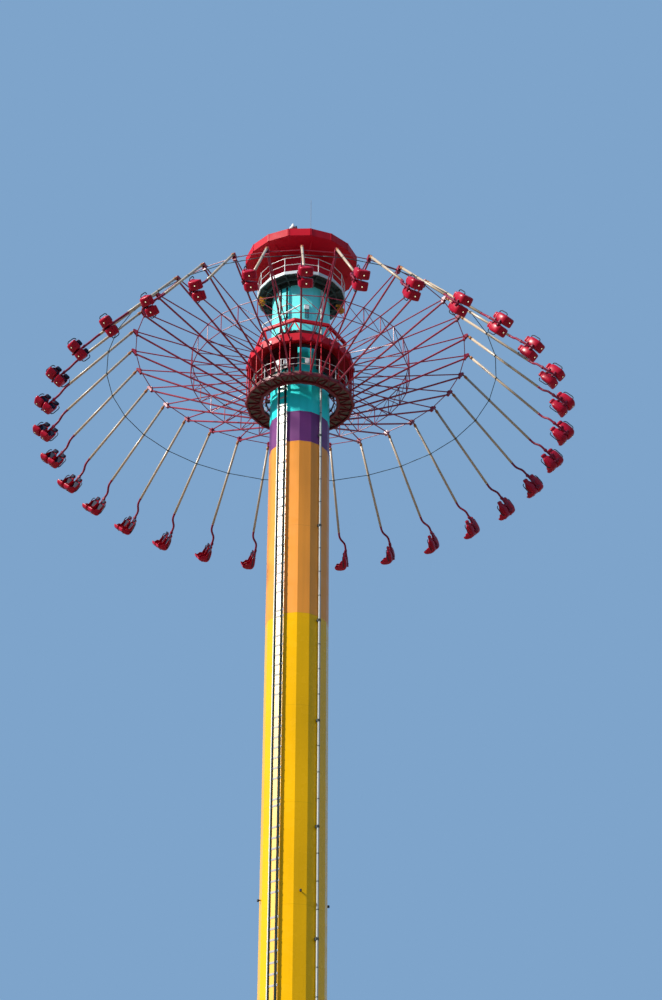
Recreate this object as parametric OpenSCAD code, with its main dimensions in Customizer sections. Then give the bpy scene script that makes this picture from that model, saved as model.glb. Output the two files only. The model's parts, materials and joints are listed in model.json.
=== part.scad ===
// Tower swing ride, a 1:10 scale model in millimetres.
// A round platform of double seats on rods climbs a sixteen-sided mast and
// spins, so that the rods swing outwards. The origin is the centre of the
// mast's base face, +Z is up, and the face between two mast corners that
// carries the guide rails looks towards -Y and a little towards -X.

/* [Mast] */
// Radius of the mast to its sixteen corners
mast_r = 188; // [184:1:190]
// Thickness of the mast's plates
mast_wall = 3; // [2:0.5:6]
// Height where the yellow paint ends
yellow_top = 6440; // [6400:10:6500]
// Height of the orange band
orange_h = 1216; // [1196:10:1236]
// Height of the purple band
purple_h = 224; // [200:4:240]
// Height of the turquoise band, up to the platform beams
teal_h = 990; // [980:5:1010]

/* [Base] */
// Radius of the round base flange
flange_r = 250; // [245:1:270]
// Thickness of the base flange
flange_t = 12; // [8:1:20]
// Radius of the anchor bolt circle
anchor_r = 225; // [222:1:230]
// Diameter of an anchor bolt hole
anchor_d = 9; // [6:0.5:12]
// Height of the gussets on the base flange
gusset_h = 70; // [40:1:100]

/* [Guide track] */
// Direction of the mast face that carries the track, from the front
track_az = -33.75; // [-33.75, -11.25, 11.25, 33.75]
// Distance between the centres of the two guide rails
rail_gauge = 49; // [44:1:50]
// Width of a guide rail
rail_w = 13; // [11:1:14]
// Depth of a guide rail
rail_t = 14; // [12:1:16]
// Pitch of the rail brackets in their groups of seven
bracket_pitch = 64; // [58:1:66]
// Height between two joints of the mast's sections
section_h = 1210; // [1190:5:1230]

/* [Service pipe] */
// Diameter of the service pipe
pipe_d = 13; // [11:1:14]
// Gap between a mast corner and the service pipe
pipe_gap = 6; // [4:1:7]
// Height between two pipe clamps
clamp_pitch = 656; // [600:4:700]

/* [Head] */
// Radius of the platform deck to its corners
deck_r = 290; // [286:1:300]
// Depth of the edge band around the platform deck
deck_t = 22; // [16:1:28]
// Height of the railing
railing_h = 112; // [100:1:115]
// Height of the soffit above the deck
soffit_rise = 224; // [210:1:235]
// Radius of the roof to its corners
roof_r = 372; // [360:1:390]
// Height of the roof's upright edge
fascia_h = 57; // [40:1:70]
// How far the roof is turned against the mast's faces
roof_turn = -2.5; // [-5:0.5:5]

/* [Carriage] */
// Gap between the mast and the carriage rings
carriage_gap = 28; // [28:1:30]
// Diameter of a guide roller
roller_d = 18; // [15:1:20]

/* [Rotor] */
// Height of the arm tips above the base, at rest
tip_z = 8463; // [8450:1:8480]
// Radius of the seat pivots
tip_r = 1080; // [1060:1:1100]
// Radius of the rotor's rims to their sixteen corners
rotor_r = 345; // [340:1:352]
// Depth of the rotor deck below the arm tips
deck_drop = 415; // [405:1:425]
// Height of the cage of posts over the deck
cage_h = 317; // [305:1:325]
// Radius of the eight-sided top frame to its corners
top_ring_r = 300; // [295:1:305]
// Direction of the top frame's front corner, from the front
top_turn = -8; // [-10:1:0]
// Diameter of a lower arm tube
lower_d = 12; // [10:0.5:13]
// Diameter of an upper arm tube
upper_d = 8; // [7:0.5:10]
// Radius of the two middle hoops
hoop_r = 700; // [660:1:740]

/* [Swing] */
// Mean angle of the rods outwards from hanging, at rest
flare = 41.6; // [36:0.1:42]
// How much further than the mean the rods swing out on one side
sway = 3.8; // [0:0.1:4]
// Direction of that side, from the front
sway_az = 127; // [0:1:359]
// Forward lean of a rod in its swing plane
lean = 1.3; // [0:0.1:3]
// Diameter of a rod
rod_d = 16; // [14:0.5:16.5]
// Length from the pivot to the end of the straight rod
rod_l = 620; // [600:1:640]
// Distance down the rod to the link cable
cable_at = 250; // [230:1:270]
// Diameter of the bent seat tube
tube_d = 11; // [10.5:0.5:12]
// Angle of the bent seat tube's slant
bend = 24; // [20:1:28]
// Diameter of a pivot pin
pin_d = 4; // [3:0.5:5]

/* [Seat] */
// Width of one seat shell
seat_w = 56; // [52:1:58]
// Gap between the two shells
seat_gap = 10; // [8:0.5:10]
// Height of a shell
seat_h = 124; // [118:1:130]
// Length of a shell from back to front
seat_l = 86; // [82:1:96]
// Thickness of a shell's walls
seat_wall = 4; // [3:0.5:5]

/* [Hidden] */
sides = 16;
arms = 32;
step = 360 / arms;
facet = 360 / sides;

orange_top = yellow_top + orange_h;
purple_top = orange_top + purple_h;
teal_top = purple_top + teal_h;
mast_flat = mast_r * cos(facet / 2);

beam_z = teal_top;
beam_h = 35;
deck_z = beam_z + beam_h;
plate_t = 6;
deck_top = deck_z + plate_t;
soffit_z = deck_top + soffit_rise;
sheet = 4;

run = 0.05;
face_gap = 0.5;
fit = 0.2;

rotor_z = tip_z - deck_drop;
cage_top = rotor_z + cage_h;
carriage_r = mast_r + carriage_gap;
carriage_flat = carriage_r * cos(facet / 2);

// Turns what is drawn along +X to a direction counted from the front
module around(az) {
    rotate([0, 0, az - 90]) children();
}

// Copies what is drawn along +X to every n-th part of a turn
module ring_of(n, first = 0) {
    for (i = [0:n - 1]) around(first + i * 360 / n) children();
}

// A sixteen-sided outline with a corner at the front
module outline(r) {
    polygon([for (i = [0:sides - 1]) r * [cos(i * facet - 90), sin(i * facet - 90)]]);
}

// A sixteen-sided tube
module shell(r, wall, z, h) {
    translate([0, 0, z]) linear_extrude(h) difference() {
        outline(r);
        outline(r - wall);
    }
}

// A straight bar between two points
module bar(a, b, d, n = 6) {
    v = b - a;
    l = norm(v);
    translate(a) rotate([0, acos(v.z / l), atan2(v.y, v.x)]) cylinder(h = l, d = d, $fn = n);
}

// A point at a radius, a direction counted from the front, and a height
function at(r, az, z) = [r * cos(az - 90), r * sin(az - 90), z];

// Straight bars around a circle, one to each part of a turn
module hoop(r, z, d, n, first = 0) {
    for (i = [0:n - 1])
        bar(at(r, first + i * 360 / n, z), at(r, first + (i + 1) * 360 / n, z), d);
}

// Base

module base_flange() {
    inset = 6;
    gusset_t = 6;
    color("gray") {
        difference() {
            cylinder(h = flange_t, r = flange_r, $fn = 96);
            ring_of(sides, facet / 2) translate([anchor_r, 0, -1])
                cylinder(h = flange_t + 2, d = anchor_d, $fn = 24);
        }
        ring_of(sides) translate([mast_r + fit, gusset_t / 2, flange_t]) rotate([90, 0, 0])
            linear_extrude(gusset_t) polygon([[0, -2], [flange_r - mast_r - inset, -2],
                [flange_r - mast_r - inset, 10], [4, gusset_h], [0, gusset_h]]);
    }
}

module mast_yellow() {
    color("gold") shell(mast_r, mast_wall, flange_t, yellow_top - flange_t);
}

module mast_orange() {
    color("orange") shell(mast_r, mast_wall, yellow_top, orange_h);
}

module mast_purple() {
    color("purple") shell(mast_r, mast_wall, orange_top, purple_h);
}

module mast_teal() {
    color("darkturquoise") shell(mast_r, mast_wall, purple_top, teal_h);
}

// Guide track

bracket_t = 6;
bracket_h = 12;
bracket_l = rail_gauge + rail_w + 6;
track_from = 120;
track_to = teal_top - 20;
group_size = 7;
group_in = 148;
splice = 20;

// Heights of the brackets: a pair at each joint of the mast's sections, and two
// groups between one joint and the next
joints = [for (n = [-1:5]) yellow_top - n * section_h];
bracket_at = [for (j = joints) each concat([j - splice, j + splice],
    [for (i = [0:group_size - 1]) each [j + group_in + i * bracket_pitch,
                                        j + section_h - group_in - i * bracket_pitch]])];

module guide_rails() {
    color("darkslategray") around(track_az) for (y = [-1, 1])
        translate([mast_flat + bracket_t, y * rail_gauge / 2 - rail_w / 2, track_from])
            cube([rail_t, rail_w, track_to - track_from]);
}

module rail_brackets() {
    color("white") around(track_az) {
        translate([mast_flat, -12, track_from]) cube([4, 24, track_to - track_from]);
        for (z = bracket_at) if (z > track_from + bracket_h && z < track_to - bracket_h)
            translate([mast_flat, -bracket_l / 2, z - bracket_h / 2])
                cube([bracket_t, bracket_l, bracket_h]);
    }
}

pipe_x = mast_r + pipe_gap + pipe_d / 2;
pipe_az = 41;
pipe_from = 100;
pipe_to = teal_top - 20;
clamp_from = pipe_from + 403;
clamp_w = pipe_d + 6;
clamp_h = 16;

// Where a clamp's foot meets the mast's face, which the pipe doesn't stand
// square to
foot_turn = pipe_az - 1.5 * facet;
clamp_in = mast_flat / cos(foot_turn) + clamp_w / 2 * tan(foot_turn) + fit;

module service_pipe() {
    color("lightgray") around(pipe_az) {
        translate([pipe_x, 0, pipe_from]) cylinder(h = pipe_to - pipe_from, d = pipe_d, $fn = 24);
        for (z = [clamp_from:clamp_pitch:pipe_to])
            translate([clamp_in, -clamp_w / 2, z - clamp_h / 2])
                cube([pipe_x - clamp_in + 2, clamp_w, clamp_h]);
    }
}

lamp_z = 4700;

module mast_lamps() {
    color("dimgray") ring_of(4, facet / 2) {
        translate([mast_flat + 0.1, -4, lamp_z]) cube([16, 8, 5]);
        translate([mast_flat + 14, 0, lamp_z - 6]) cylinder(h = 12, d = 12, $fn = 16);
    }
}

// Head

hub_t = 5;

module platform_beams() {
    beam_x = mast_r + 2;
    beam_l = deck_r - 17 - beam_x;
    h = beam_h - 0.1;
    color("darkslategray") {
        ring_of(sides) translate([beam_x, 4, beam_z]) rotate([90, 0, 0]) linear_extrude(8)
            polygon([[0, h], [0, -14], [20, 0], [beam_l, 20], [beam_l, h]]);
        shell(deck_r - 50, 8, beam_z + 6, h - 6);
        shell(mast_r + hub_t, hub_t, beam_z, h);
    }
}

module platform_deck() {
    color("lightgray") {
        shell(deck_r, deck_r - mast_r, deck_z, plate_t);
        shell(deck_r, 6, deck_top - deck_t, deck_t);
    }
}

rail_d = 4;
railing_r = deck_r - 6;

module platform_railing() {
    color("white") {
        hoop(railing_r, deck_top + railing_h, rail_d, sides);
        hoop(railing_r, deck_top + railing_h / 2, rail_d, sides);
        ring_of(sides) translate([railing_r, 0, deck_top])
            cylinder(h = railing_h + rail_d / 2, d = rail_d + 1, $fn = 8);
    }
}

sheave_d = 50;
sheave_az = 98;
sheave_x = deck_r - 28;
sheave_z = beam_z - 34;
cheek_t = 4;

module hoist_sheaves() {
    reach = sheave_x - deck_r + 60;
    color("darkorange") ring_of(2, sheave_az) translate([sheave_x, 0, sheave_z]) {
        rotate([90, 0, 0]) cylinder(h = 10, d = sheave_d, center = true, $fn = 48);
        for (y = [-1, 1]) translate([-12, y * 8 - cheek_t / 2, -12])
            cube([24, cheek_t, beam_z + 6 - sheave_z + 12]);
        translate([-reach, -10, beam_z + 2 - sheave_z]) cube([reach + 12, 20, 4]);
        rotate([90, 0, 0]) cylinder(h = 24, d = 12, center = true, $fn = 24);
    }
}

module head_core() {
    color("maroon") {
        shell(mast_r, mast_wall, beam_z, soffit_z - beam_z);
        ring_of(8, facet / 2) bar([mast_flat - 1, 0, soffit_z - 60], [roof_r - 60, 0, soffit_z - 5], 8);
    }
}

module roof_soffit() {
    color("darkred") translate([0, 0, soffit_z]) rotate([0, 0, facet / 2 + roof_turn])
        linear_extrude(sheet) outline(roof_r - sheet);
}

module roof_cap() {
    color("crimson") rotate([0, 0, facet / 2 + roof_turn]) {
        shell(roof_r, sheet, soffit_z, fascia_h);
        translate([0, 0, soffit_z + fascia_h - 2 * sheet]) linear_extrude(sheet) outline(roof_r - 1);
        ring_of(sides) translate([roof_r - 3, -6, soffit_z]) cube([4, 12, fascia_h]);
    }
    color("crimson") around(beacon_az) translate([beacon_r, 0, soffit_z + fascia_h - sheet - 1])
        cylinder(h = beacon_h + 1, d = beacon_d, $fn = 32);
}

rod_at = [57, -200];
rod_tip = 382;
beacon_az = -10;
beacon_r = 345;
beacon_d = 26;
beacon_h = 32;

module roof_fittings() {
    top = soffit_z + fascia_h - sheet;
    color("whitesmoke") {
        translate([rod_at.x, rod_at.y, top]) {
            cylinder(h = 20, d = 20, $fn = 24);
            cylinder(h = rod_tip, d = 3, $fn = 12);
        }
        around(beacon_az) translate([beacon_r, 0, top + beacon_h]) {
            cylinder(h = 8, d = beacon_d - 1, $fn = 32);
            translate([0, 0, 8]) cylinder(h = 20, d1 = beacon_d - 1, d2 = 12, $fn = 32);
        }
    }
}

// Carriage, which climbs the mast and does not turn

carriage_z = rotor_z + 20;
carriage_top = tip_z + 20;
collar_t = 6;
column_t = 10;
roller_w = 12;
roller_x = mast_flat + 0.3 + roller_d / 2;
roller_first = 33.75;
roller_z = [carriage_z + 34, carriage_top - 46];
fork_t = 3;
fork_x = mast_flat + 5.2;
axle_d = 5;

// The race of the slewing bearing: the rotor hangs its plate over this ring
deck_in = carriage_r + 24;
race_r = deck_in - 0.3;
race_z = cage_top - 10;
race_foot = race_z - 8.3;
race_t = 14;

module carriage_frame() {
    color("firebrick") {
        shell(carriage_r + collar_t, collar_t, carriage_z, 14);
        shell(carriage_r + collar_t, collar_t, carriage_top - 20, 20);
        ring_of(8, roller_first) {
            translate([carriage_flat + 1, -6, carriage_z])
                cube([column_t, 12, carriage_top - carriage_z]);
            for (z = roller_z) translate([0, 0, z]) fork();
        }
        panels();
        ring_of(4, track_az) translate([carriage_flat + 2, -23, carriage_top - 95]) cube([22, 46, 90]);
        difference() {
            union() {
                translate([0, 0, race_foot]) cylinder(h = cage_top + 3.7 - race_foot, r = race_r, $fn = 96);
                translate([0, 0, race_foot]) cylinder(h = 8, r = race_r + race_t - 4, $fn = 96);
            }
            translate([0, 0, race_z - 10]) cylinder(h = 60, r = carriage_flat + column_t - 4, $fn = 96);
        }
    }
}

// Plates between the columns, left open in front and behind
module panels() {
    difference() {
        shell(carriage_r + 4, 3, carriage_z + 130, race_z - carriage_z - 135);
        ring_of(2, facet / 2) translate([0, -60, carriage_z])
            cube([2 * carriage_r, 120, race_z - carriage_z]);
    }
}

// Two plates that hold the axle of a guide roller, on a foot on the column
module fork() {
    inner = roller_w / 2 + 0.4;
    for (y = [-inner - fork_t, inner]) translate([fork_x, y, -8])
        cube([carriage_flat + 3 - fork_x, fork_t, 16]);
    translate([carriage_flat + 1, -inner - fork_t, -10]) cube([4, 2 * (inner + fork_t), 20]);
    translate([roller_x, 0, 0]) rotate([90, 0, 0])
        cylinder(h = 2 * (inner + fork_t) + 2, d = axle_d, center = true, $fn = 24);
}

module guide_rollers() {
    color("dimgray") ring_of(8, roller_first) for (z = roller_z)
        translate([roller_x, 0, z]) rotate([90, 0, 0]) difference() {
            cylinder(h = roller_w, d = roller_d, center = true, $fn = 32);
            cylinder(h = roller_w + 2, d = axle_d + 2 * fit, center = true, $fn = 24);
        }
}

// Rotor, which spins on the carriage

rim_h = 25;
rim_t = 12;
floor_z = rotor_z + rim_h - 8;
floor_t = 4;
inner_w = 18;

// A straight beam on edge between two points of the same height, its top at z
module joist(a, b, w, h) {
    v = b - a;
    translate(a) rotate([0, 0, atan2(v.y, v.x)]) translate([0, -w / 2, -h]) cube([norm(v), w, h]);
}

module rotor_deck() {
    a = deck_in + inner_w / 2;
    b = rotor_r - rim_t - 2;
    z = floor_z + 1;
    color("darkred") {
        shell(rotor_r, rim_t, rotor_z, rim_h);
        shell(deck_in + inner_w, inner_w, rotor_z, floor_z - rotor_z + 1);
        shell(rotor_r - 2, rotor_r - 2 - deck_in, floor_z, floor_t);
        for (k = [0:arms - 1]) joist(at(a, k * step, z), at(b + 6, k * step, z), 5, 14);
        for (k = [0:2:arms - 1], side = [-1, 1])
            joist(at(a, k * step, z), at(b, (k + side) * step, z), 4, 9);
    }
}

ring_h = 52;
post_d = 7;

// The rims' radius at an arm: a corner for the even arms, a flat for the odd
function rim_at(k) = k % 2 == 0 ? rotor_r : rotor_r * cos(facet / 2);

module rotor_cage() {
    color("crimson") {
        for (k = [0:arms - 1]) around(k * step) translate([rim_at(k) - 6, 0, rotor_z + rim_h])
            cylinder(h = cage_h - rim_h - ring_h + 2, d = post_d, $fn = 8);
        shell(rotor_r, 18, cage_top - ring_h, ring_h);
    }
}

railing_in = rotor_r - 30;

module rotor_railing() {
    top = rotor_z + rim_h + 1.1 * railing_h;
    color("white") {
        for (z = [top, top - 45]) hoop(railing_in, z, 4, sides);
        ring_of(sides) translate([railing_in, 0, floor_z + floor_t])
            cylinder(h = top + 2 - floor_z - floor_t, d = 5, $fn = 8);
    }
}

top_ring_z = tip_z + 37;
top_ring_t = 20;

// An eight-sided outline, turned as the top frame is
module eight(r) {
    polygon([for (i = [0:7]) r * [cos(i * 45 - 90 + top_turn), sin(i * 45 - 90 + top_turn)]]);
}

module top_ring() {
    foot_r = rotor_r - 34;
    spread = 11;
    color("firebrick") {
        translate([0, 0, top_ring_z]) linear_extrude(top_ring_t) difference() {
            eight(top_ring_r);
            eight(top_ring_r - 20);
        }
        ring_of(8, top_turn) for (side = [-1, 1])
            bar([top_ring_r - 14, 0, top_ring_z + 3],
                [foot_r * cos(spread), side * foot_r * sin(spread), cage_top + 2], 9);
        difference() {
            union() {
                translate([0, 0, cage_top]) linear_extrude(6) outline(rotor_r - 4);
                translate([0, 0, race_z])
                    cylinder(h = cage_top - race_z + 3, r = deck_in + race_t, $fn = 96);
            }
            translate([0, 0, race_z - 1]) cylinder(h = 30, r = deck_in, $fn = 96);
        }
        for (turn = [0, 180]) rotate([0, 0, turn]) frame_rail();
    }
}

// A rail that passes the mast from one side of the top frame to the next
module frame_rail() {
    across = -73;
    foot = top_ring_z + top_ring_t - 2;
    rail_z = top_ring_z + 1.125 * railing_h;
    near = at(top_ring_r - 4, 0, rail_z);
    far = at(top_ring_r - 44, across, rail_z);
    bar(near, far, 9, 8);
    bar(at(top_ring_r - 23, 0, foot), near, 6, 8);
    bar(at(top_ring_r - 33, across, foot), far, 6, 8);
}

// Arms

lug_t = 4;
eye_d = 16;
eye_w = 12;
fork_w = eye_w + 2 * face_gap + 2 * lug_t;
hoop_d = 6;
foot_z = rotor_z + 27;
head_z = cage_top - 45;
knee_r = tip_r - 20;
knee_lower = tip_z - 28;
knee_upper = tip_z - 6;
knee_hoop = tip_z - 12;

function lower_z(r) = foot_z + (knee_lower - foot_z) * (r - rotor_r) / (knee_r - rotor_r);
function upper_z(r) = head_z + (knee_upper - head_z) * (r - rotor_r) / (knee_r - rotor_r);

// One arm along +X, from end plates on the rims at radius r0 to the pivot
module arm(r0) {
    bar([r0 + 3.5, 0, foot_z], [knee_r, 0, knee_lower], lower_d, 8);
    bar([r0 + 3.5, 0, head_z], [knee_r, 0, knee_upper], upper_d, 8);
    bar([hoop_r, 0, lower_z(hoop_r)], [hoop_r, 0, upper_z(hoop_r)], hoop_d);
    bar([r0 + 3.5, 0, head_z], [hoop_r, 0, lower_z(hoop_r)], hoop_d);
    translate([r0 + fit, -7, foot_z - 20]) cube([4.5, 14, 28]);
    translate([r0 + fit, -7, head_z - 6]) cube([4.5, 14, 28]);
    translate([knee_r - 6, -fork_w / 2, knee_lower - 8]) cube([12, fork_w, knee_upper - knee_lower + 14]);
    for (y = [-1, 1]) translate([0, y * (fork_w - lug_t) / 2, 0]) rotate([90, 0, 0])
        linear_extrude(lug_t, center = true) {
            translate([tip_r, tip_z]) circle(d = eye_d, $fn = 32);
            polygon([[knee_r, knee_lower - 8], [tip_r + 5, tip_z - 6],
                [tip_r - 4, tip_z + 7], [knee_r, knee_upper + 6]]);
        }
    translate([tip_r, 0, tip_z]) rotate([90, 0, 0])
        cylinder(h = fork_w + 2, d = pin_d, center = true, $fn = 24);
}

// A bar that ends short of its second point
module short_bar(a, b, d, cut) {
    bar(a, b - cut * (b - a) / norm(b - a), d);
}

// Hoops from one arm to the next, with a diagonal in the middle bay. The bay
// before the next node's first arm stops just short of that arm.
module bay(last) {
    low = at(hoop_r, 0, lower_z(hoop_r));
    high = at(hoop_r, 0, upper_z(hoop_r));
    next_low = at(hoop_r, step, lower_z(hoop_r));
    next_high = at(hoop_r, step, upper_z(hoop_r));
    short_bar(at(knee_r, 0, knee_hoop), at(knee_r, step, knee_hoop), hoop_d, last ? fork_w / 2 + 0.7 : 0);
    short_bar(low, next_low, hoop_d, last ? lower_d / 2 + 0.8 : 0);
    short_bar(high, next_high, hoop_d, last ? upper_d / 2 + 0.8 : 0);
    short_bar(high, next_low, hoop_d - 2, last ? lower_d / 2 + 4 : 0);
}

per_side = arms / 4;

module arm_side(first) {
    color("crimson") for (k = [first:first + per_side - 1]) {
        around(k * step) arm(rim_at(k));
        rotate([0, 0, k * step]) bay(k == first + per_side - 1);
    }
}

// Swings: drawn hanging from the origin, outwards along +X and moving along +Y

knuckle_h = 44;
socket_d = 19;

// Points of the bent seat tube in its plane, as distances back and down from
// the end of the rod: it leans back in two steps and comes upright in two
bend_l = 28;
bend_angles = [bend * 0.4, bend, bend, bend * 0.4];
function bend_step(n) = -bend_l * [sin(bend_angles[n]), cos(bend_angles[n])];
function bend_point(n) = n == 0 ? [0, 0] : bend_point(n - 1) + bend_step(n - 1);
bends = len(bend_angles);
tube_y = rod_l * sin(lean) + bend_point(bends)[0];
tube_z = -rod_l * cos(lean) + bend_point(bends)[1];

module seat_tube() {
    translate([0, rod_l * sin(lean), -rod_l * cos(lean)]) for (n = [0:bends]) {
        p = [0, bend_point(n)[0], bend_point(n)[1]];
        translate(p) sphere(d = tube_d + 1, $fn = 24);
        if (n < bends) bar(p, [0, bend_point(n + 1)[0], bend_point(n + 1)[1]], tube_d, 24);
    }
}

// Outline of a seat shell from the side, back at y = 0 and facing +y
module seat_side() {
    polygon([[0, 14], [6, 3], [20, 0], [seat_l - 22, 2], [seat_l - 6, 10], [seat_l, 24],
        [seat_l - 2, 34], [seat_l - 14, 42], [seat_l * 0.5, 50], [seat_l * 0.3, 62], [24, 84],
        [18, seat_h - 8], [12, seat_h], [4, seat_h], [0, seat_h - 6]]);
}

// Outline of a seat shell from the front, with shoulders and a headrest
module seat_front(w) {
    polygon([[-w / 2 + 6, 0], [w / 2 - 6, 0], [w / 2, 10], [w / 2, 78], [w / 2 - 3, 88], [w * 0.32, 94],
        [w * 0.29, seat_h - 10], [w * 0.18, seat_h], [-w * 0.18, seat_h], [-w * 0.29, seat_h - 10],
        [-w * 0.32, 94], [-w / 2 + 3, 88], [-w / 2, 78], [-w / 2, 10]]);
}

// The hollow of a seat shell, open at the top and the front
module seat_hollow(w) {
    rotate([90, 0, 90]) linear_extrude(w, center = true)
        polygon([[8, seat_h + 20], [8, 26], [14, 16], [26, 12], [seat_l - 20, 16],
            [seat_l + 20, 24], [seat_l + 20, seat_h + 20]]);
}

module seat_shell() {
    difference() {
        intersection() {
            rotate([90, 0, 90]) linear_extrude(seat_w, center = true) seat_side();
            translate([0, seat_l + 5, 0]) rotate([90, 0, 0])
                linear_extrude(seat_l + 10) seat_front(seat_w);
        }
        seat_hollow(seat_w - 2 * seat_wall);
    }
}

seat_drop = 155;
stem_l = 140;
seat_z = tube_z - seat_drop;
seat_y = tube_y + 2;
seat_x = (seat_w + seat_gap) / 2;

module swing() {
    difference() {
        union() {
            rotate([90, 0, 0]) cylinder(h = eye_w, d = eye_d, center = true, $fn = 32);
            rotate([lean, 0, 0]) translate([0, 0, -knuckle_h])
                cylinder(h = knuckle_h - 4, d = eye_w - 1, $fn = 24);
        }
        rotate([90, 0, 0]) cylinder(h = eye_w + 10, d = pin_d + 2 * run, center = true, $fn = 24);
    }
    rotate([lean, 0, 0]) {
        translate([0, 0, -knuckle_h - 14]) cylinder(h = 26, d = socket_d, $fn = 24);
        translate([0, 0, -rod_l]) cylinder(h = rod_l - knuckle_h, d = rod_d, $fn = 24);
        translate([0, 0, -cable_at - 5]) cylinder(h = 10, d = rod_d + 5, $fn = 24);
    }
    seat_tube();
    translate([0, tube_y, tube_z - stem_l]) cylinder(h = stem_l, d = tube_d, $fn = 24);
    for (z = [26, 72]) translate([-seat_x, tube_y - 5, seat_z + z]) cube([2 * seat_x, 7.5, 12]);
    for (x = [-seat_x, seat_x]) translate([x, seat_y, seat_z]) seat_shell();
    for (x = [-1, 1]) translate([x * (seat_x + seat_w / 2), seat_y + 40, seat_z + 46]) rotate([90, 0, 90])
        rotate_extrude($fn = 32) translate([15, 0]) circle(d = 3, $fn = 8);
}

// How far swing k hangs out at rest
function flare_at(k) = flare + sway * cos(k * step - sway_az);

module swing_at(k) {
    color("wheat") around(k * step) translate([tip_r, 0, tip_z]) rotate([0, -flare_at(k), 0]) swing();
}

// The link cable runs straight from rod to rod

cable_d = 3;
function rod_point(k) = let(
        l = [0, cable_at * sin(lean), -cable_at * cos(lean)],
        r = tip_r - l.z * sin(flare_at(k)),
        z = tip_z + l.z * cos(flare_at(k)),
        a = k * step - 90)
    [r * cos(a) - l.y * sin(a), r * sin(a) + l.y * cos(a), z];

module link_cable() {
    color("dimgray") for (k = [0:arms - 1]) {
        a = rod_point(k);
        b = rod_point(k + 1);
        u = (b - a) / norm(b - a);
        short = (rod_d + 5) / 2 + 0.3;
        bar(a + u * short, b - u * short, cable_d);
    }
}

base_flange();
mast_yellow();
mast_orange();
mast_purple();
mast_teal();
guide_rails();
rail_brackets();
service_pipe();
mast_lamps();
platform_beams();
platform_deck();
platform_railing();
hoist_sheaves();
head_core();
roof_soffit();
roof_cap();
roof_fittings();
carriage_frame();
guide_rollers();
rotor_deck();
rotor_cage();
rotor_railing();
top_ring();
arm_side(-4);  // arms_front
arm_side(4);  // arms_right
arm_side(12);  // arms_back
arm_side(20);  // arms_left
link_cable();
for (k = [1:arms]) swing_at(k - 1);
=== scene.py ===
# %% [markdown]
# Swing tower, a 1:10 model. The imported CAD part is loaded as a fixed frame:
# the mast, the head, the carriage, the spinning rotor and 32 swings. The CAD
# pieces whose shape is already right get a finish. The swings are small
# mouldings, bent tubes and pads, so they are modelled again here in detail,
# in the place that the frame gives them.

# %% The frame
import json
import math

import bmesh
import bpy
from mathutils import Matrix, Vector


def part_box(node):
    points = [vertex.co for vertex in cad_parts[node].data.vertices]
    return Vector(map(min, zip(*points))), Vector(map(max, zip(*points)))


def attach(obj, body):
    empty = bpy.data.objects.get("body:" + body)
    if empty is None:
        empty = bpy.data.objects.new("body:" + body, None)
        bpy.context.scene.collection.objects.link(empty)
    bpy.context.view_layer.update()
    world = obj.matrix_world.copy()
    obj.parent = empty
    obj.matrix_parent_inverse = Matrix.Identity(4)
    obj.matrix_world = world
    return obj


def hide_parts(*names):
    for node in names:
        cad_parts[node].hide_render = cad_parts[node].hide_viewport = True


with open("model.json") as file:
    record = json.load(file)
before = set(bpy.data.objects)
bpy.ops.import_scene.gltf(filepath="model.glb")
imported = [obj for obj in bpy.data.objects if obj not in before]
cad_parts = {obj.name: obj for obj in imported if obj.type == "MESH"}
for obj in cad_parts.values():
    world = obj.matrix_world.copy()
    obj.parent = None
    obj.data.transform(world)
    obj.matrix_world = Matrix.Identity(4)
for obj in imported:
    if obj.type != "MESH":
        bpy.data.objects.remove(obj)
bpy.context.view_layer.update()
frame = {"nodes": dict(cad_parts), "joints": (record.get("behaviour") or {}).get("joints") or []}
nodes = frame["nodes"]

# %% [markdown]
# Everything is placed from a few facts that the frame already holds: the
# height and radius of the pivots, how far the rods are swung out at rest, and
# the sides of the mast. Sizes are in metres at model scale.

# %% Sizes from the frame
joints = {joint["name"]: joint for joint in frame["joints"]}
swing_count = sum(name.startswith("flare_") for name in joints)
step = 2 * math.pi / swing_count
pivot = Vector(joints["flare_1"]["pos_m"])
tip_r, tip_z = -pivot.y, pivot.z
flares = [-math.radians(joints[f"flare_{k + 1}"]["range_deg"][0]) for k in range(swing_count)]
sides = 16
facet = 2 * math.pi / sides
mast_r = -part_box("mast_teal")[0].y
mast_flat = mast_r * math.cos(facet / 2)
deck_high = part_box("rotor_deck")[1]
head_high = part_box("roof_cap")[1]
yellow_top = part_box("mast_yellow")[1].z
orange_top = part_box("mast_orange")[1].z
purple_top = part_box("mast_purple")[1].z
print("pivots at", round(tip_r, 3), round(tip_z, 3), "mast", round(mast_r, 3), "swings", swing_count)
print("swung out by", [round(math.degrees(end(flares)), 1) for end in (min, max)], "degrees")


def at(radius, turn, height):
    """A point at a turn from the front, counted towards +X."""
    return Vector((radius * math.sin(turn), -radius * math.cos(turn), height))


# %% [markdown]
# The photograph was taken from the ground with a long lens, looking up at
# about 32 degrees. The camera stands in the same place at model scale, and a
# focal length in pixels is turned into a lens for a 36 mm film side.

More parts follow.
